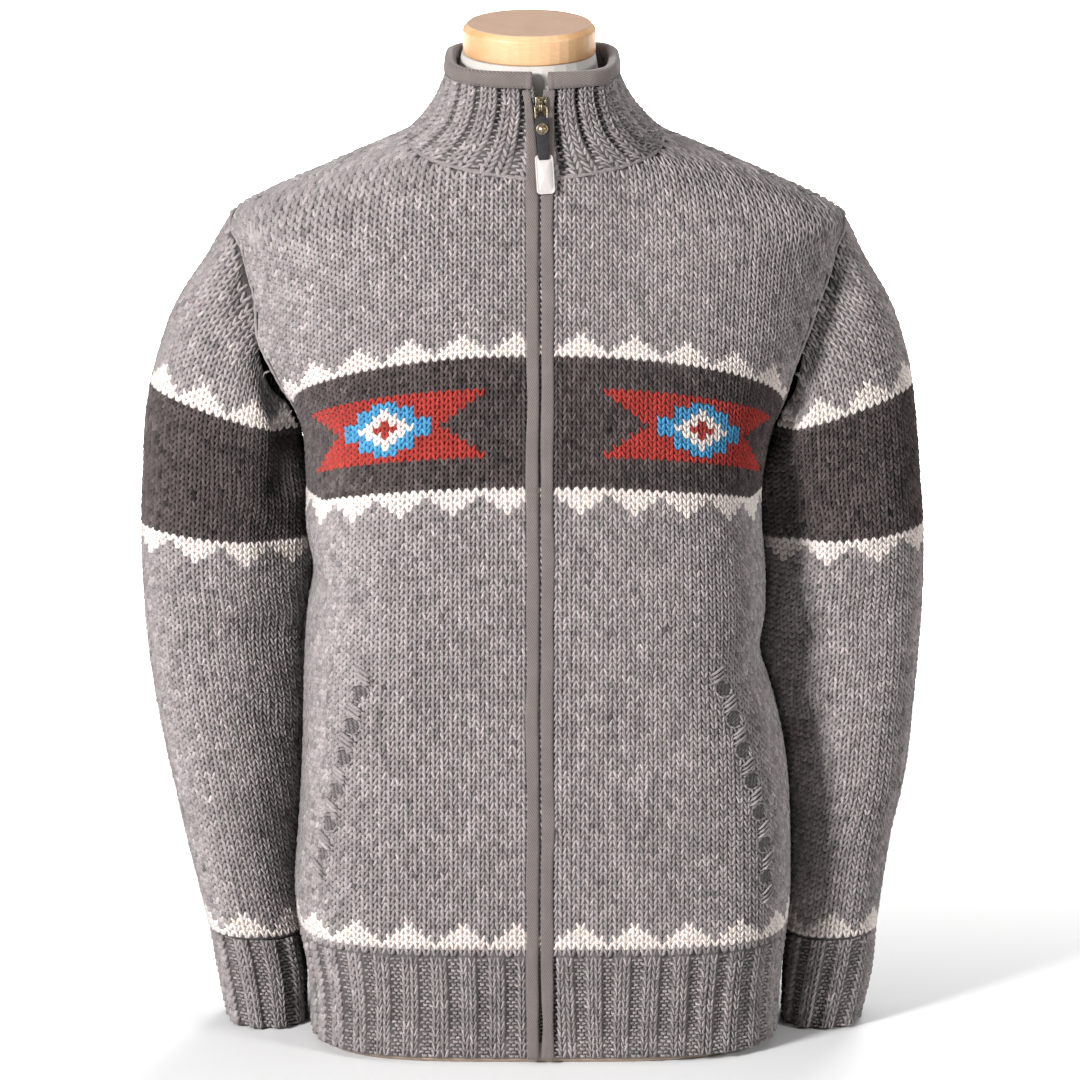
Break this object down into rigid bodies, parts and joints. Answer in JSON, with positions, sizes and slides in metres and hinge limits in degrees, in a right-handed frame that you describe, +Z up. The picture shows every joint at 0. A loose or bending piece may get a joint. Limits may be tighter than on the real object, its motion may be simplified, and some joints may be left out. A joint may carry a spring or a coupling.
{
  "type": "knitted zip sweater on a limbless torso form",
  "caption": "Chunky knitted zip-up sweater with a stand collar, patterned chest band, ribbed hem and cuffs, worn by a limbless torso form with a round neck cap.",
  "frame": {"origin": "on the surface the form stands on, at the middle of the base board, below the closed zip's line", "axes": "+Z up; the front of the sweater faces -Y; +X to the right in a front view"},
  "size_m": [0.6063, 0.2489, 0.7978],
  "materials": {
    "grey_knit": "chunky heathered stocking-stitch wool",
    "rib_knit": "chunky ribbed wool",
    "taupe_twill": "brushed twill tape",
    "zip_tape": "woven tape",
    "aged_brass": "dull aged brass",
    "dark_leather": "smooth dark leather",
    "white_tag": "matt white",
    "maple": "satin lacquered",
    "form_cloth": "smooth cream jersey over a firm form"
  },
  "bodies": {
    "sweater_on_form": {"front_left": "grey_knit", "front_right": "grey_knit", "back_panel": "grey_knit", "sleeve_left": "grey_knit", "sleeve_right": "grey_knit", "cuff_left": "rib_knit", "cuff_right": "rib_knit", "hem_left": "rib_knit", "hem_right": "rib_knit", "hem_back": "rib_knit", "collar": "rib_knit", "collar_binding": "taupe_twill", "binding_left": "taupe_twill", "binding_right": "taupe_twill", "tape_left": "zip_tape", "tape_right": "zip_tape", "zip_chain": "aged_brass", "zip_slider": "aged_brass", "pocket_left": "grey_knit", "pocket_right": "grey_knit", "form_base": "maple", "form_torso": "form_cloth", "neck_cap": "maple"},
    "zip_pull": {"pull_link": "aged_brass", "pull_strap": "dark_leather", "pull_rivet": "aged_brass", "pull_tag": "white_tag"}
  },
  "joints": [
    {"name": "pull_swing", "type": "hinge", "parent": "sweater_on_form", "child": "zip_pull", "pos_m": [0.0006, -0.07532, 0.74812], "axis": [-1, 0, 0], "range_deg": [0, 160]}
  ]
}
